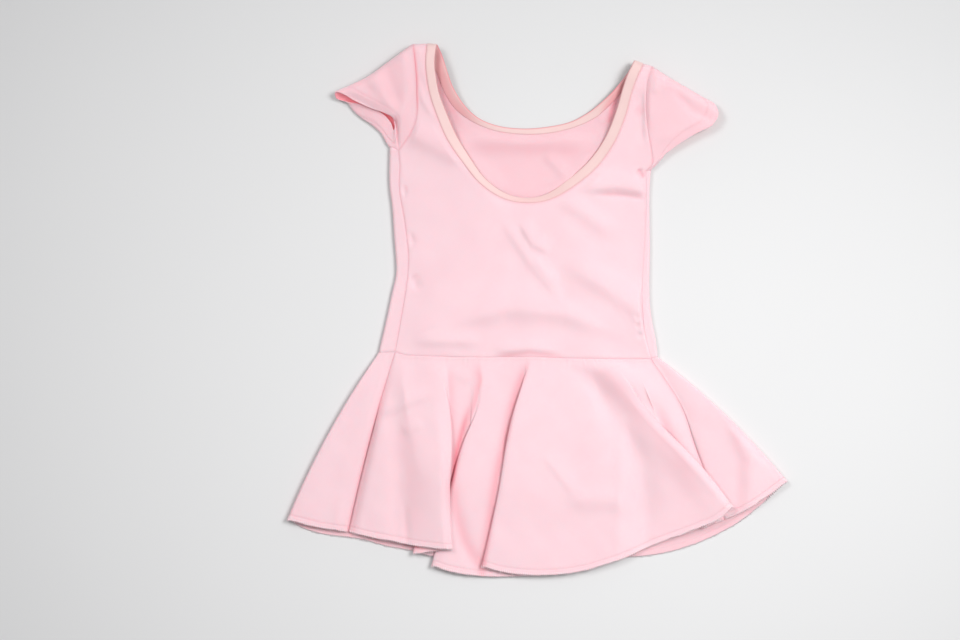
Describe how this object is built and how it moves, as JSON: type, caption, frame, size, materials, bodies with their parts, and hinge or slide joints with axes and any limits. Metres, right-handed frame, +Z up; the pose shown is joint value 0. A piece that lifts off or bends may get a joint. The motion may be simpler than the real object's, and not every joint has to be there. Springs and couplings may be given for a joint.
{
  "type": "skirted leotard",
  "caption": "Child's cap-sleeved ballet leotard with a scooped elastic-bound neck and a flared skirt sewn at the waist, lying flat, face up.",
  "frame": {"origin": "middle of the outline's box in plan, on the surface that the garment lies on", "axes": "+X to the right of someone looking down at the front, +Y from the hem to the shoulders, +Z up from the surface"},
  "size_m": [0.4492, 0.4788, 0.018],
  "materials": {
    "cloth": "matt cotton and elastane jersey",
    "elastic": "soft fold-over elastic"
  },
  "bodies": {
    "root": {"bodice_front": "cloth", "bodice_back": "cloth", "neck_binding": "elastic", "sleeve_left": "cloth", "sleeve_right": "cloth", "skirt_front": "cloth", "skirt_back": "cloth", "brief_front": "cloth", "brief_back": "cloth"}
  },
  "joints": []
}
